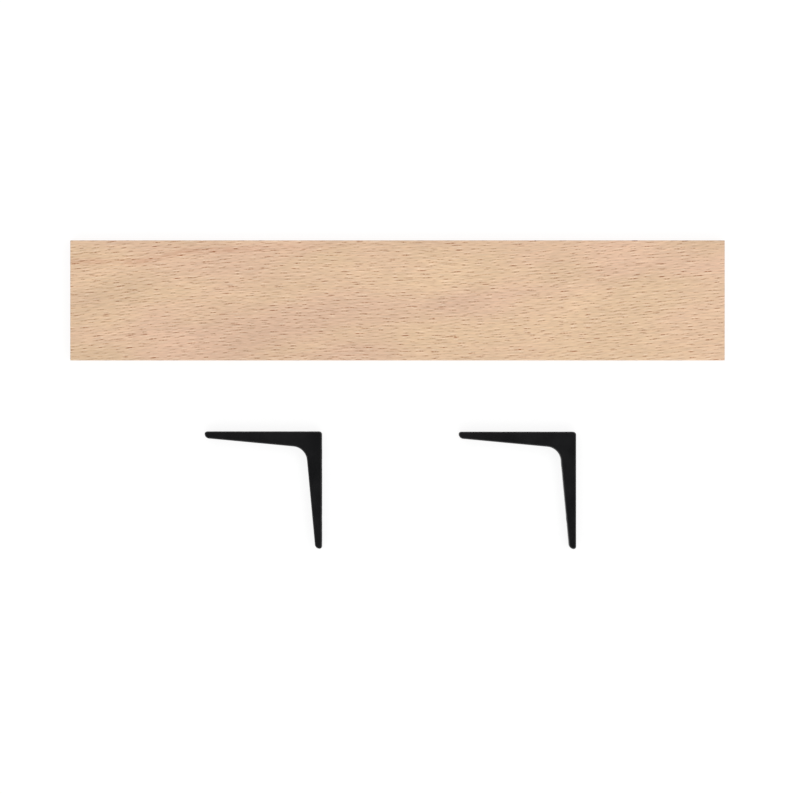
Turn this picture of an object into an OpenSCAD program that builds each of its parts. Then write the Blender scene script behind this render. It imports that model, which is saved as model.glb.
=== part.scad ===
// Wall shelf with brackets, laid out as a loose kit: one solid beech board and two moulded
// L brackets lying on their cheeks in front of it. Millimetres, +Z up. The origin is the
// middle of the laid-out kit, on the surface that it lies on. Along X runs the board's length.

/* [Board] */
// Length of the board
board_length = 1200; // [900:10:1400]
// Depth of the board, from the wall to the front edge
board_depth = 220; // [218:1:260]
// Thickness of the board
board_thick = 20; // [18:1:28]
// Radius of the eased edges of the board
board_ease = 1.6; // [0.8:0.2:4]
// Radius of its four upright corners
board_corner = 1; // [0.4:0.2:3]
// Distance from each end of the board to the pilot holes of a bracket
pilot_inset = 200; // [120:10:300]
// Diameter of the pilot holes in the underside
pilot_d = 2.6; // [2:0.1:3]
// Depth of the pilot holes
pilot_depth = 13; // [10:1:15]

/* [Bracket] */
// Length of each limb of the L, measured on its mounting face
limb_length = 215; // [205:1:218]
// Depth that the tapered limb would have at the corner of the L
root_depth = 32.3; // [30:0.1:36]
// Depth of the limb at its tip
tip_depth = 12.2; // [11.8:0.1:14]
// Width of the bracket, across the profile
bracket_width = 22; // [20:1:26]
// Radius of the fillet inside the L
fillet_r = 27.5; // [20:0.5:32]
// Radius of the outside corner of the L
corner_r = 5.5; // [4:0.5:8]
// Radius at the tip, next to the mounting face
tip_outer_r = 4.4; // [3:0.1:4.6]
// Radius of the rounded long edges
rim_r = 2.4; // [1:0.1:2.6]
// Thickness of the walls around the cored pockets
wall = 3.8; // [3.6:0.1:4]
// Thickness of the cross ribs
rib = 2.4; // [2:0.1:3]
// Distance from one cross rib to the next
rib_pitch = 20; // [19:1:21]

/* [Fastening] */
// Distances of the two shelf screws from the corner of the L
shelf_holes = [60, 140];
// Distances of the two wall screws from the corner of the L
wall_holes = [60, 160];
// Thickness of the floor that each screw head pulls against
seat_thick = 4; // [3.5:0.1:4]
// Diameter of the clearance holes for the shelf screws
shelf_hole_d = 4.5; // [4.3:0.1:4.8]
// Diameter of the wells for the heads of the shelf screws
shelf_well_d = 9.4; // [9:0.1:10]
// Diameter of the clearance holes for the wall screws
wall_hole_d = 5.2; // [5:0.1:5.6]
// Diameter of the wells for the heads of the wall screws
wall_well_d = 10.6; // [10:0.1:11]

/* [Shelf screws] */
// Diameter over the thread
thread_d = 4; // [3.8:0.1:4]
// Diameter of the core between the threads
core_d = 2.8; // [2.4:0.1:3]
// Length from under the head to the tip
screw_length = 15; // [13:0.5:15]
// Diameter of the pan head
head_d = 7.8; // [7:0.1:8]
// Height of the pan head
head_height = 2.6; // [2.2:0.1:2.6]
// Thickness of the nylon washer that keeps a screw in its well
washer_thick = 1; // [0.8:0.1:1.2]
// How far the tip of a parked screw stays behind the mounting face
tip_inset = 0.6; // [0.4:0.1:1]

/* [Layout] */
// Distance between the outside corners of the two brackets
bracket_pitch = 466; // [400:1:520]
// Shift of the pair of brackets to the right of the board's middle
bracket_shift = 94.5; // [60:0.5:120]
// Gap between the board and the right-hand bracket
layout_gap = 131; // [100:1:160]
// How much nearer to the board the left-hand bracket lies
bracket_stagger = 0.6; // [0:0.1:10]

/* [Hidden] */
$fn = 64;

// Overshoot of the cutting tools past a face
over = 0.5;
// The kit as laid out: the board at the back, the brackets in front of it
kit_depth = board_depth + layout_gap + limb_length;
board_y = kit_depth / 2 - board_depth / 2;
face_y = kit_depth / 2 - board_depth - layout_gap;
left_corner = [bracket_shift - bracket_pitch / 2, face_y + bracket_stagger];
right_corner = [bracket_shift + bracket_pitch / 2, face_y];

// The bracket is drawn with its outside corner at the origin. One limb runs along +X and the
// other along +Y, and both mounting faces lie on the axes. The limb's inner face is the line
// y = root_depth - taper * x, and slant is the length of that line for each unit of x.
taper = (root_depth - tip_depth) / limb_length;
taper_angle = atan(taper);
slant = sqrt(1 + taper * taper);
// The fillet's centre, on the diagonal of the L, and where it runs into the inner face
fillet_c = (root_depth + fillet_r * slant) / (1 + taper);
fillet_start = [fillet_c - fillet_r * taper / slant, fillet_c - fillet_r / slant];
// The tip is two arcs that meet at its very end. The inner arc's radius follows from the
// outer one's, and tip_end is where it runs into the inner face.
tip_outer_c = [limb_length - tip_outer_r, tip_outer_r];
tip_inner_r = (tip_depth - tip_outer_r) / (slant - taper);
tip_inner_c = [limb_length - tip_inner_r, tip_outer_r];
tip_end = tip_inner_c + tip_inner_r * [taper, 1] / slant;

// The cored pockets of a limb run from first_rib to last_rib
first_rib = 31;
last_rib = 203;
rib_count = floor((last_rib - first_rib) / rib_pitch);
rib_step = (last_rib - first_rib) / rib_count;
// Thickness of the boss left around a well
boss_margin = 2.2;
// The pocket at the corner of the L: where it starts and ends along the limb, and its depth
corner_pocket = [6, 25, 21];
// How much larger than rim_r the tool's round is, so that it leaves each face at an angle
rim_lead = 0.02;
// The tool of a slanted edge reaches this far over the arcs at its ends, and cuts this much
// deeper than they do, so that nothing stays standing between the tools
rim_lap = 0.3;
rim_deeper = 0.01;

// Radius of the pan head's shoulder, under half its height so that its underside stays flat
shoulder_r = 0.45 * head_height;
// Length, width and depth of each slot of the cross recess in the head
recess = [4.4, 1, 1.5];
// The plain neck under the head, and the tapered point
neck = 1.5;
point = 3;
// The thread's pitch, and the parts of it where a tooth's crest begins, its crest ends and
// its flank is back on the core
thread_pitch = 1.25;
tooth = [0.35, 0.5, 0.85];
// Outer and inner diameter of the nylon washer
washer_d = 8.8;
washer_bore_d = 4.1;

function limb_depth(x) = root_depth - taper * x;

// A rectangle with round corners, centred on the origin
module rounded_rect(w, h, r) {
    square([w - 2 * r, h], center = true);
    square([w, h - 2 * r], center = true);
    for (x = [-1, 1], y = [-1, 1])
        translate([x * (w / 2 - r), y * (h / 2 - r)])
            circle(r);
}

// ---- Board ----

module board() {
    mid = board_thick / 2;
    color("#deba9b")
        translate([0, board_y, 0])
            difference() {
                intersection() {
                    linear_extrude(board_thick)
                        rounded_rect(board_length, board_depth, board_corner);
                    translate([0, board_depth / 2, mid])
                        rotate([90, 0, 0])
                            linear_extrude(board_depth)
                                rounded_rect(board_length, board_thick, board_ease);
                    translate([-board_length / 2, 0, mid])
                        rotate([90, 0, 90])
                            linear_extrude(board_length)
                                rounded_rect(board_depth, board_thick, board_ease);
                }
                for (x = [-1, 1], back = shelf_holes)
                    translate([
                        x * (board_length / 2 - pilot_inset),
                        board_depth / 2 - back,
                        -over,
                    ])
                        cylinder(d = pilot_d, h = pilot_depth + over);
            }
}

// ---- Bracket ----

// Outline of the limb that lies along +X
module limb_outline() {
    polygon([
        [0, 0],
        [tip_outer_c.x, 0],
        tip_outer_c,
        [limb_length, tip_outer_r],
        tip_inner_c,
        tip_end,
        [0, root_depth],
    ]);
    translate(tip_outer_c)
        circle(tip_outer_r);
    translate(tip_inner_c)
        intersection() {
            circle(tip_inner_r);
            square(tip_inner_r + over);
        }
}

// Outline of the whole L, with its inner fillet and its round outside corner
module bracket_outline() {
    difference() {
        union() {
            limb_outline();
            mirror([1, -1, 0])
                limb_outline();
            polygon([
                [0, 0],
                fillet_start,
                [fillet_c, fillet_c],
                [fillet_start.y, fillet_start.x],
            ]);
        }
        translate([fillet_c, fillet_c])
            circle(fillet_r);
        difference() {
            translate([-over, -over])
                square(corner_r + over);
            translate([corner_r, corner_r])
                circle(corner_r);
        }
    }
}

// Section of the tool that rounds an edge. X runs in from the wall, Y up from the cheek.
module rim_section(deeper = 0) {
    margin = over + deeper;
    difference() {
        translate([-margin, -margin])
            square(rim_r + margin);
        translate([rim_r, rim_r])
            circle(rim_r + rim_lead - deeper);
    }
}

// Rim tool along a straight edge: from p, in the direction a, with the solid on the left
module rim_line(p, a, length, deeper = 0) {
    translate(p)
        rotate([0, 0, a])
            rotate([90, 0, 90])
                linear_extrude(length)
                    rim_section(deeper);
}

// Rim tool along an arc from angle a over sweep, with the solid inside or outside the arc
module rim_arc(c, r, a, sweep, solid_inside = true) {
    translate(c)
        rotate([0, 0, a])
            rotate_extrude(angle = sweep)
                translate([r, 0])
                    mirror([solid_inside ? 1 : 0, 0])
                        rim_section();
}

// Rim tools of the limb that lies along +X, on the cheek at the bottom
module limb_rim() {
    rim_line([corner_r, 0], 0, tip_outer_c.x - corner_r);
    rim_arc(tip_outer_c, tip_outer_r, -90, 90);
    rim_arc(tip_inner_c, tip_inner_r, 0, 90 - taper_angle);
    rim_line(
        tip_end + rim_lap * [1, -taper] / slant,
        180 - taper_angle,
        (tip_end.x - fillet_start.x) * slant + 2 * rim_lap,
        rim_deeper
    );
}

// Rim tools all round one cheek
module cheek_rim() {
    limb_rim();
    mirror([1, -1, 0])
        limb_rim();
    rim_arc([corner_r, corner_r], corner_r, 180, 90);
    rim_arc(
        [fillet_c, fillet_c], fillet_r, 180 + taper_angle, 90 - 2 * taper_angle, false
    );
}

// A pocket cored in from the mounting face, from x0 to x1, with its floor a wall thick
module pocket(x0, x1) {
    translate([0, 0, wall])
        linear_extrude(bracket_width - 2 * wall)
            polygon([
                [x0, -over],
                [x1, -over],
                [x1, limb_depth(x1) - wall],
                [x0, limb_depth(x0) - wall],
            ]);
}

// An upright boss, well or hole across the limb, from y0 to y1
module across(x, d, y0, y1) {
    translate([x, y0, bracket_width / 2])
        rotate([-90, 0, 0])
            cylinder(d = d, h = y1 - y0);
}

// The pockets of one limb, kept clear of the bosses around its screw holes, and its holes
module limb_core(holes, hole_d, well_d) {
    difference() {
        for (i = [0:rib_count - 1])
            pocket(
                first_rib + i * rib_step + rib / 2,
                first_rib + (i + 1) * rib_step - rib / 2
            );
        for (x = holes)
            across(x, well_d + 2 * boss_margin, -2 * over, root_depth);
    }
    for (x = holes) {
        across(x, hole_d, -over, seat_thick + over);
        across(x, well_d, seat_thick, root_depth);
    }
}

module bracket() {
    color("#1b1b1c")
        difference() {
            linear_extrude(bracket_width)
                bracket_outline();
            cheek_rim();
            translate([0, 0, bracket_width])
                mirror([0, 0, 1])
                    cheek_rim();
            limb_core(shelf_holes, shelf_hole_d, shelf_well_d);
            mirror([1, -1, 0])
                limb_core(wall_holes, wall_hole_d, wall_well_d);
            translate([corner_pocket[0], -over, wall])
                cube([
                    corner_pocket[1] - corner_pocket[0],
                    corner_pocket[2] + over,
                    bracket_width - 2 * wall,
                ]);
        }
}

// ---- Fasteners ----

// Half of the pan head's section, below the origin, with a round shoulder
module head_outline() {
    flat_r = head_d / 2 - shoulder_r;
    translate([0, -head_height])
        square([flat_r, head_height]);
    translate([0, shoulder_r - head_height])
        square([head_d / 2, head_height - shoulder_r]);
    translate([flat_r, shoulder_r - head_height])
        circle(shoulder_r);
}

// Half of the shank's section, with its rows of teeth
module shank_outline() {
    core = core_d / 2;
    crest = thread_d / 2;
    teeth = floor((screw_length - neck - point) / thread_pitch);
    polygon([
        [0, -shoulder_r / 2],
        [core, -shoulder_r / 2],
        [core, screw_length - point],
        [0, screw_length],
    ]);
    for (i = [0:teeth - 1])
        translate([0, neck + i * thread_pitch])
            polygon([
                [0, 0],
                [core, 0],
                [crest, thread_pitch * tooth[0]],
                [crest, thread_pitch * tooth[1]],
                [core, thread_pitch * tooth[2]],
                [0, thread_pitch * tooth[2]],
            ]);
}

// A pan-head wood screw on +Z, with the underside of its head at the origin and the point up
module shelf_screw() {
    color("#b8babd")
        difference() {
            rotate_extrude()
                union() {
                    head_outline();
                    shank_outline();
                }
            for (a = [0, 90])
                rotate([0, 0, a])
                    translate([-recess.x / 2, -recess.y / 2, -head_height - over])
                        cube([recess.x, recess.y, recess.z + over]);
        }
}

module retaining_washer() {
    color("#e9e7df")
        difference() {
            cylinder(d = washer_d, h = washer_thick);
            translate([0, 0, -over])
                cylinder(d = washer_bore_d, h = washer_thick + 2 * over);
        }
}

// ---- Places ----

// A bracket lies on one cheek with its outside corner at the given point, its shelf face
// towards the board and its wall face towards +X
module at_bracket(corner) {
    translate([corner.x, corner.y, 0])
        rotate([0, 0, 180])
            children();
}

// A screw lies parked in its well, with its point just behind the shelf face
module parked_screw(corner, hole_x) {
    at_bracket(corner)
        translate([hole_x, screw_length + tip_inset, bracket_width / 2])
            rotate([90, 0, 0])
                shelf_screw();
}

// A washer lies on the floor of a well
module seated_washer(corner, hole_x) {
    at_bracket(corner)
        translate([hole_x, seat_thick, bracket_width / 2])
            rotate([-90, 0, 0])
                retaining_washer();
}

board();
at_bracket(left_corner) bracket();  // bracket_left
at_bracket(right_corner) bracket();  // bracket_right
parked_screw(left_corner, shelf_holes[0]);  // left_rear_screw
parked_screw(left_corner, shelf_holes[1]);  // left_front_screw
parked_screw(right_corner, shelf_holes[0]);  // right_rear_screw
parked_screw(right_corner, shelf_holes[1]);  // right_front_screw
seated_washer(left_corner, shelf_holes[0]);  // left_rear_washer
seated_washer(left_corner, shelf_holes[1]);  // left_front_washer
seated_washer(right_corner, shelf_holes[0]);  // right_rear_washer
seated_washer(right_corner, shelf_holes[1]);  // right_front_washer
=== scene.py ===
"""Wall shelf with brackets, laid out as a loose kit and seen from straight above."""
import math

import bpy
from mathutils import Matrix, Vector


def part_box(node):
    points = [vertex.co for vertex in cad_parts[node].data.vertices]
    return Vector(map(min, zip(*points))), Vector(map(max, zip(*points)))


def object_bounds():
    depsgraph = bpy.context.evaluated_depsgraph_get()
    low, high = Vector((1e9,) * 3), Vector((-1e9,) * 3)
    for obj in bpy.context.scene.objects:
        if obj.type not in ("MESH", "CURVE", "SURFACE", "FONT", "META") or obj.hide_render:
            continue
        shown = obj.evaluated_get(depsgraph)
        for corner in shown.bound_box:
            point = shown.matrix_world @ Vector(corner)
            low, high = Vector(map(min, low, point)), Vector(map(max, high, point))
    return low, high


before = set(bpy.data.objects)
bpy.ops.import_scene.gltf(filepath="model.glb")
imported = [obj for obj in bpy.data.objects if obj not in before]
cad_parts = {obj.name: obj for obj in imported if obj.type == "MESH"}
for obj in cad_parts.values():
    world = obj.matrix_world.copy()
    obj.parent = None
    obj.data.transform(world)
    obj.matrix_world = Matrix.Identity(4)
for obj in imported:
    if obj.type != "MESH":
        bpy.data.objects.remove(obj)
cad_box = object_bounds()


# ---- Node helpers ----

class Nodes:
    """Short ways to add and link the nodes of one material."""

    def __init__(self, name):
        self.material = bpy.data.materials.new(name)
        self.material.use_nodes = True
        self.tree = self.material.node_tree
        self.tree.nodes.clear()
        self.shader = self.add("ShaderNodeBsdfPrincipled")
        output = self.add("ShaderNodeOutputMaterial")
        self.link(self.shader.outputs["BSDF"], output.inputs["Surface"])

    def add(self, kind, **settings):
        node = self.tree.nodes.new(kind)
        for key, value in settings.items():
            setattr(node, key, value)
        return node

    def link(self, source, target):
        self.tree.links.new(source, target)

    def put(self, value, target):
        """Sets a socket to a number or colour, or links another node's output to it."""
        if isinstance(value, bpy.types.NodeSocket):
            self.link(value, target)
        else:
            target.default_value = value

    def coords(self):
        """The place of a point in the row frame, in metres, because the nodes sit at the origin."""
        return self.add("ShaderNodeTexCoord").outputs["Object"]

    def mapping(self, vector, scale=(1, 1, 1), location=(0, 0, 0)):
        node = self.add("ShaderNodeMapping")
        self.put(vector, node.inputs["Vector"])
        node.inputs["Scale"].default_value = scale
        node.inputs["Location"].default_value = location
        return node.outputs["Vector"]

    def noise(self, vector, scale, detail):
        node = self.add("ShaderNodeTexNoise")
        self.put(vector, node.inputs["Vector"])
        node.inputs["Scale"].default_value = scale
        node.inputs["Detail"].default_value = detail
        return node.outputs["Fac"]

    def math(self, operation, a, b=0.0, clamp=False):
        node = self.add("ShaderNodeMath", operation=operation, use_clamp=clamp)
        self.put(a, node.inputs[0])
        self.put(b, node.inputs[1])
        return node.outputs[0]

    def ramp(self, value, low, high, to_low=0.0, to_high=1.0, smooth=True):
        """The value, taken from the range low to high to the range to_low to to_high."""
        node = self.add("ShaderNodeMapRange")
        node.interpolation_type = "SMOOTHSTEP" if smooth else "LINEAR"
        self.put(value, node.inputs["Value"])
        node.inputs["From Min"].default_value = low
        node.inputs["From Max"].default_value = high
        node.inputs["To Min"].default_value = to_low
        node.inputs["To Max"].default_value = to_high
        return node.outputs["Result"]

    def mix(self, factor, a, b):
        node = self.add("ShaderNodeMix", data_type="RGBA")
        self.put(factor, node.inputs["Factor"])
        self.put(a, node.inputs["A"])
        self.put(b, node.inputs["B"])
        return node.outputs["Result"]

    def split(self, vector):
        node = self.add("ShaderNodeSeparateXYZ")
        self.link(vector, node.inputs[0])
        return node.outputs

    def join(self, x=0.0, y=0.0, z=0.0):
        node = self.add("ShaderNodeCombineXYZ")
        for value, axis in zip((x, y, z), "XYZ"):
            self.put(value, node.inputs[axis])
        return node.outputs[0]

    def chances(self, x, y, z):
        """Three even random numbers from 0 to 1, the same wherever X, Y and Z are the same."""
        node = self.add("ShaderNodeTexWhiteNoise", noise_dimensions="3D")
        self.link(self.join(x, y, z), node.inputs["Vector"])
        return self.split(node.outputs["Color"])

    def bump(self, height, distance):
        node = self.add("ShaderNodeBump")
        self.put(height, node.inputs["Height"])
        node.inputs["Distance"].default_value = distance
        node.inputs["Strength"].default_value = 1.0
        return node.outputs["Normal"]


# ---- Beech ----

# Colours are linear. Between the pores the wood drifts from rosy to straw.
ROSY = (0.770, 0.519, 0.368, 1)
STRAW = (0.757, 0.537, 0.350, 1)
PORE = (0.300, 0.075, 0.006, 1)
# Painted sheen: the pale colour laid beside each pore line as the shine of the rays.
RAY_SHEEN = (0.872, 0.668, 0.492, 1)
RING_RED = (0.560, 0.290, 0.185, 1)
END_GRAIN = (0.520, 0.345, 0.215, 1)
# Length and width of the cells that hold one pore line each, in metres, how dark their
# lines may get, and a seed
PORE_LAYERS = [(0.0280, 0.0068, 0.78, 1.5), (0.0220, 0.0057, 0.53, 8.5)]
# Half the width of a pore line, in metres
PORE_HALF = 0.00075
# Depth of the pores in the surface, in metres
PORE_RELIEF = 0.00003
# Added to the counts of rows and cells, so that none of them is below zero
POSITIVE = 500.0
# The most cells that a row is shifted by
ROW_SHIFT = 9.0
# How much of its red the growth ring shows, and how much deeper the pores in it are
RING_STRENGTH = 0.46
PORES_IN_RING = 1.35
# How much of the end grain shows on a cut end, and how dark its arcs are
END_STRENGTH = 0.72
ARC_STRENGTH = 0.45
# Painted shade: how light the board's edges are painted beside its faces
EDGE_PAINTED_SHADE = 0.86
# Scale of the noise along and across the grain, its detail, and how far it changes the tone
FIBRES = ((48, 520, 520), 1.0, 0.09)
CLOUDS = ((5, 16, 16), 2.0, 0.075)


def board_point(n):
    """X, Y and Z in metres, measured from the middle of the board's underside."""
    lo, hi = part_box("board")
    middle = Vector(((lo.x + hi.x) / 2, (lo.y + hi.y) / 2, lo.z))
    return n.split(n.mapping(n.coords(), location=-middle))


def grain_point(n, x, y, z):
    """The board's point with Y bent so that lines of equal Y follow the grain.

    The grain rises gently to the right, by slope on average, and swings by sway
    over each wave of the board's length. Z is added to Y, so that the lines go on
    along the board's long edges.
    """
    slope, sway, wave, shift = 0.052, 0.035, 0.96, 0.06
    turn = 2 * math.pi / wave
    wave_here = n.math("SINE", n.math("MULTIPLY", n.math("ADD", x, shift), turn))
    swing = n.math("MULTIPLY", wave_here, sway / turn)
    rise = n.math("SUBTRACT", n.math("MULTIPLY", x, slope), swing)
    across = n.math("SUBTRACT", n.math("ADD", y, z), rise)
    for scale, size in (((7, 26, 26), 0.0040), ((70, 180, 180), 0.0008)):
        wobble = n.noise(n.mapping(n.join(x, y, z), scale=scale), 1.0, detail=0.0)
        drift = n.math("MULTIPLY", n.math("SUBTRACT", wobble, 0.5), size)
        across = n.math("ADD", across, drift)
    return x, across


def pore_lines(n, along, across, length, width, darkest, seed):
    """Short dark lines along the grain, one in each cell, and a painted sheen of pale rays beside
    them.

    Each row of cells is shifted along the grain by its own amount, so that the
    lines never fall in columns, and each line has its own length, place and depth.
    """
    rows = n.math("ADD", n.math("DIVIDE", across, width), POSITIVE)
    row = n.math("FLOOR", rows)
    shift = n.math("MULTIPLY", n.chances(row, seed, 0.0)["X"], ROW_SHIFT)
    places = n.math("ADD", n.math("ADD", n.math("DIVIDE", along, length), POSITIVE), shift)
    chance = n.chances(row, n.math("FLOOR", places), seed)

    lane = n.ramp(chance["X"], 0.0, 1.0, 0.2, 0.8, smooth=False)
    from_lane = n.math("SUBTRACT", n.math("FRACT", rows), lane)
    off = n.math("MULTIPLY", n.math("ABSOLUTE", from_lane), width)
    reach = n.ramp(chance["Y"], 0.0, 1.0, 0.20, 0.49, smooth=False)
    to_end = n.math("ABSOLUTE", n.math("SUBTRACT", n.math("FRACT", places), 0.5))
    body = n.ramp(n.math("DIVIDE", to_end, reach), 1.0, 0.3)
    depth = n.math("MULTIPLY", body, n.ramp(chance["Z"], 0.0, 1.0, 0.05, darkest, smooth=False))
    breaks = n.noise(n.mapping(n.join(along, across), scale=(300, 200, 1)), 1.0, detail=0.0)
    depth = n.math("MULTIPLY", depth, n.ramp(breaks, 0.30, 0.62, 0.35, 1.0))

    line = n.math("MULTIPLY", depth, n.ramp(off, PORE_HALF * 1.7, PORE_HALF * 0.4))
    # Painted sheen: a pale band on either side of each line.
    outer = n.ramp(off, PORE_HALF * 5.6, PORE_HALF * 4.0)
    inner = n.ramp(off, PORE_HALF * 1.4, PORE_HALF * 3.0)
    return line, n.math("MULTIPLY", depth, n.math("MULTIPLY", outer, inner))


def growth_ring(n, x, y):
    """One redder ring line: it runs in from the left end and rises to the back edge.

    Its Y rises with X in two steps, and it fades towards the middle of the board.
    """
    rise = n.ramp(x, -0.49, -0.36, 0.071, 0.092)
    climb = n.math("ADD", rise, n.ramp(x, -0.36, -0.05, 0.0, 0.010))
    away = n.math("ABSOLUTE", n.math("SUBTRACT", y, climb))
    core = n.ramp(away, 0.0095, 0.0005)
    fade = n.ramp(x, -0.05, -0.38, 0.10, 1.0)
    patches = n.ramp(n.noise(n.join(x), 24.0, detail=1.0), 0.35, 0.65, 0.5, 1.0)
    return n.math("MULTIPLY", n.math("MULTIPLY", core, fade), patches)


def end_rings(n, y, z):
    """Arcs of growth rings for the two cut ends, about a heart below the board."""
    depth, spacing = 0.16, 0.0042
    down = n.math("ADD", z, depth)
    squares = n.math("ADD", n.math("MULTIPLY", y, y), n.math("MULTIPLY", down, down))
    radius = n.math("SQRT", squares)
    phase = n.math("FRACT", n.math("DIVIDE", radius, spacing))
    return n.ramp(phase, 0.55, 1.0)


def all_pores(n, along, across):
    """The pore lines and the painted sheen of the rays of all the layers together."""
    pores, ray_sheen = 0.0, 0.0
    for length, width, darkest, seed in PORE_LAYERS:
        line, one_ray_sheen = pore_lines(n, along, across, length, width, darkest, seed)
        pores = n.math("ADD", line, pores, clamp=True)
        ray_sheen = n.math("ADD", one_ray_sheen, ray_sheen, clamp=True)
    return pores, ray_sheen


def long_grain(n, x, y, streaks, pores, ray_sheen):
    """The colour of the wood as cut along the grain."""
    hue = n.noise(n.mapping(streaks, scale=(3.6, 13, 13)), 1.0, detail=2.0)
    colour = n.mix(n.ramp(hue, 0.32, 0.68), ROSY, STRAW)
    ring = growth_ring(n, x, y)
    colour = n.mix(n.math("MULTIPLY", ring, RING_STRENGTH), colour, RING_RED)
    # Painted sheen: the pale ray colour laid beside the pore lines.
    colour = n.mix(ray_sheen, colour, RAY_SHEEN)
    depth = n.math("MULTIPLY", pores, n.ramp(ring, 0.0, 1.0, 1.0, PORES_IN_RING))
    return n.mix(depth, colour, PORE)


def with_cut_ends(n, colour, y, z, facing):
    """The colour, with arcs of growth rings laid over it on the two cut ends."""
    on_end = n.ramp(n.math("ABSOLUTE", facing["X"]), 0.75, 0.95)
    arcs = n.math("MULTIPLY", end_rings(n, y, z), ARC_STRENGTH)
    cut = n.mix(arcs, END_GRAIN, PORE)
    return n.mix(n.math("MULTIPLY", on_end, END_STRENGTH), colour, cut)


def tone_with_painted_shade(n, x, y, streaks, facing):
    """How light the wood is, as a factor near 1.

    It is painted lighter towards the right end and the back edge and darker on the edges than on
    the faces, both painted shading, and it varies finely from fibre to fibre and softly from cloud
    to cloud.
    """
    lo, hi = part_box("board")
    half = (hi.x - lo.x) / 2
    # Painted shading: lighter towards the right end and towards the back edge.
    tone = n.ramp(x, -half, half, 0.966, 1.004, smooth=False)
    tone = n.math("MULTIPLY", tone, n.ramp(y, -0.06, 0.06, 0.985, 1.015, smooth=False))
    # Painted shade: where the surface turns away from straight up or down, on the edges, sides and
    # ends, the wood is painted darker.
    painted_shade_off_face = n.ramp(n.math("ABSOLUTE", facing["Z"]), 0.98, 0.80)
    tone = n.math("MULTIPLY", tone, n.ramp(painted_shade_off_face, 0.0, 1.0, 1.0, EDGE_PAINTED_SHADE))
    for scale, detail, spread in FIBRES, CLOUDS:
        figure = n.noise(n.mapping(streaks, scale=scale), 1.0, detail=detail)
        factor = n.ramp(figure, 0.25, 0.75, 1 - spread, 1 + spread, smooth=False)
        tone = n.math("MULTIPLY", tone, factor)
    return tone


def beech():
    """Beech: pore lines with a painted ray sheen beside them, one red ring, arcs of growth rings on
    the cut ends, and painted shading on the edges and across the board.
    """
    n = Nodes("beech")
    x, y, z = board_point(n)
    along, across = grain_point(n, x, y, z)
    streaks = n.join(along, across, z)
    facing = n.split(n.add("ShaderNodeNewGeometry").outputs["Normal"])

    pores, ray_sheen = all_pores(n, along, across)
    colour = long_grain(n, x, y, streaks, pores, ray_sheen)
    colour = with_cut_ends(n, colour, y, z, facing)
    toned = n.add("ShaderNodeVectorMath", operation="SCALE")
    n.link(colour, toned.inputs[0])
    n.link(tone_with_painted_shade(n, x, y, streaks, facing), toned.inputs["Scale"])
    n.link(toned.outputs[0], n.shader.inputs["Base Color"])

    n.link(n.ramp(pores, 0.0, 1.0, 0.46, 0.62), n.shader.inputs["Roughness"])
    n.shader.inputs["Specular IOR Level"].default_value = 0.30
    n.link(n.bump(n.math("MULTIPLY", pores, -1.0), PORE_RELIEF), n.shader.inputs["Normal"])
    return n.material


# ---- Black brackets, screws and washers ----

BLACK_DARK = (0.0034, 0.0034, 0.0039, 1)
BLACK_LIGHT = (0.0044, 0.0044, 0.0050, 1)
ZINC_DARK = (0.52, 0.53, 0.55, 1)
ZINC_LIGHT = (0.66, 0.67, 0.68, 1)
NYLON_DARK = (0.74, 0.72, 0.66, 1)
NYLON_LIGHT = (0.80, 0.78, 0.72, 1)


def bracket_black():
    """Moulded black with a satin gloss: faint clouds and a very fine mould grain."""
    n = Nodes("bracket_black")
    grain = n.noise(n.coords(), 2600.0, detail=2.0)
    cloud = n.noise(n.coords(), 22.0, detail=2.0)
    colour = n.mix(n.ramp(cloud, 0.3, 0.7), BLACK_DARK, BLACK_LIGHT)
    n.link(colour, n.shader.inputs["Base Color"])
    n.link(n.ramp(cloud, 0.3, 0.7, 0.30, 0.36), n.shader.inputs["Roughness"])
    n.shader.inputs["Specular IOR Level"].default_value = 0.38
    n.link(n.bump(grain, 0.00002), n.shader.inputs["Normal"])
    return n.material


def zinc_steel():
    """Zinc-plated steel, with the plating's small cloudy patches."""
    n = Nodes("zinc_steel")
    n.shader.inputs["Metallic"].default_value = 1.0
    cloud = n.noise(n.coords(), 900.0, detail=3.0)
    n.link(n.mix(cloud, ZINC_DARK, ZINC_LIGHT), n.shader.inputs["Base Color"])
    n.link(n.ramp(cloud, 0.3, 0.7, 0.24, 0.40), n.shader.inputs["Roughness"])
    return n.material


def nylon():
    """Natural nylon, milky white."""
    n = Nodes("nylon")
    cloud = n.noise(n.coords(), 700.0, detail=2.0)
    n.link(n.mix(cloud, NYLON_DARK, NYLON_LIGHT), n.shader.inputs["Base Color"])
    n.shader.inputs["Roughness"].default_value = 0.45
    return n.material


def paint(nodes, material):
    """Gives every named CAD node the one material."""
    for name in nodes:
        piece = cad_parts[name]
        piece.data.materials.clear()
        piece.data.materials.append(material)


PLACES = ["left_rear", "left_front", "right_rear", "right_front"]
paint(["board"], beech())
paint(["bracket_left", "bracket_right"], bracket_black())
paint([f"{place}_screw" for place in PLACES], zinc_steel())
paint([f"{place}_washer" for place in PLACES], nylon())


# ---- Floor, light and camera ----

FLOOR_SIZE = 30
FLOOR_GAP = 0.0002
# The way along the floor from which the sky shines brightest: from the front right
BRIGHT_SIDE = (0.6, -0.8, 0.0)
CAMERA_HEIGHT = 5.0
CAMERA_FRAMING = 1.2125
CAMERA_X, CAMERA_Y = -0.0009, -0.0042


def floor(lowest):
    """A white floor. It glows by itself, so shadows on it stay faint."""
    bpy.ops.mesh.primitive_plane_add(size=FLOOR_SIZE, location=(0, 0, lowest - FLOOR_GAP))
    plane = bpy.context.object
    plane.name = "floor"
    n = Nodes("floor")
    n.shader.inputs["Base Color"].default_value = (0.20, 0.20, 0.20, 1)
    n.shader.inputs["Roughness"].default_value = 0.9
    n.shader.inputs["Specular IOR Level"].default_value = 0.0
    n.shader.inputs["Emission Color"].default_value = (1, 1, 1, 1)
    n.shader.inputs["Emission Strength"].default_value = 0.84
    plane.data.materials.append(n.material)


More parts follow.
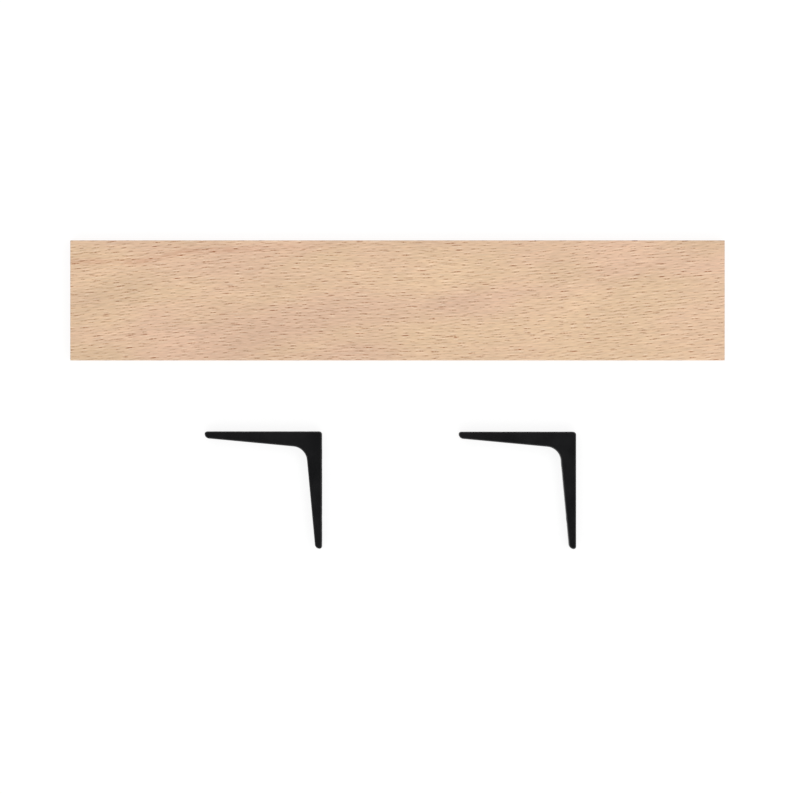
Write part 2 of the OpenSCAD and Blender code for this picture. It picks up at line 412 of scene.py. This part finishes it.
def studio_sky():
    """A soft studio: white at the horizon, bright halfway up and dark overhead.

    The horizon continues the white floor in level views. The bright ring halfway up lights
    the wood from all sides, and the dark top keeps the glossy black cheeks black from above.
    """
    world = bpy.data.worlds.new("studio")
    bpy.context.scene.world = world
    world.use_nodes = True
    tree = world.node_tree
    tree.nodes.clear()
    out = tree.nodes.new("ShaderNodeOutputWorld")
    back = tree.nodes.new("ShaderNodeBackground")
    direction = tree.nodes.new("ShaderNodeTexCoord").outputs["Generated"]
    split = tree.nodes.new("ShaderNodeSeparateXYZ")
    tree.links.new(direction, split.inputs[0])
    towards = tree.nodes.new("ShaderNodeVectorMath")
    towards.operation = "DOT_PRODUCT"
    tree.links.new(direction, towards.inputs[0])
    towards.inputs[1].default_value = BRIGHT_SIDE

    def ramp(value, low, high, to_low, to_high):
        node = tree.nodes.new("ShaderNodeMapRange")
        node.interpolation_type = "SMOOTHSTEP"
        tree.links.new(value, node.inputs["Value"])
        node.inputs["From Min"].default_value = low
        node.inputs["From Max"].default_value = high
        node.inputs["To Min"].default_value = to_low
        node.inputs["To Max"].default_value = to_high
        return node.outputs["Result"]

    def math_node(operation, first, second):
        node = tree.nodes.new("ShaderNodeMath")
        node.operation = operation
        tree.links.new(first, node.inputs[0])
        tree.links.new(second, node.inputs[1])
        return node.outputs[0]

    height = split.outputs["Z"]
    lower_edge = ramp(height, 0.30, 0.50, 0.50, 1.83)
    upper_edge = ramp(height, 0.78, 0.95, 1.0, 0.035)
    side = ramp(towards.outputs["Value"], -0.9, 0.9, 0.76, 1.26)
    lit = math_node("MULTIPLY", math_node("MULTIPLY", lower_edge, upper_edge), side)
    horizon = ramp(height, 0.10, 0.14, 1.30, 0.0)
    tree.links.new(math_node("ADD", lit, horizon), back.inputs["Strength"])
    tree.links.new(back.outputs["Background"], out.inputs["Surface"])


def soft_box(name, place, size, power):
    """A square lamp of the given size in metres, aimed at the origin."""
    light = bpy.data.lights.new(name, "AREA")
    light.shape = "SQUARE"
    light.size = size
    light.energy = power
    lamp = bpy.data.objects.new(name, light)
    lamp.location = place
    lamp.rotation_mode = "QUATERNION"
    lamp.rotation_quaternion = (-Vector(place)).to_track_quat("-Z", "Y")
    bpy.context.scene.collection.objects.link(lamp)


def camera():
    lo, hi = cad_box
    framed = (hi.x - lo.x) * CAMERA_FRAMING
    data = bpy.data.cameras.new("camera")
    cam = bpy.data.objects.new("camera", data)
    cam.location = ((lo.x + hi.x) / 2 + CAMERA_X, CAMERA_Y, hi.z + CAMERA_HEIGHT)
    data.sensor_width = 36
    data.lens = data.sensor_width * CAMERA_HEIGHT / framed
    bpy.context.scene.collection.objects.link(cam)
    bpy.context.scene.camera = cam


floor(cad_box[0].z)
studio_sky()
soft_box("low_front", (0.9, -3.2, 0.9), 1.2, 16)
camera()
bpy.context.scene.view_settings.view_transform = "Standard"
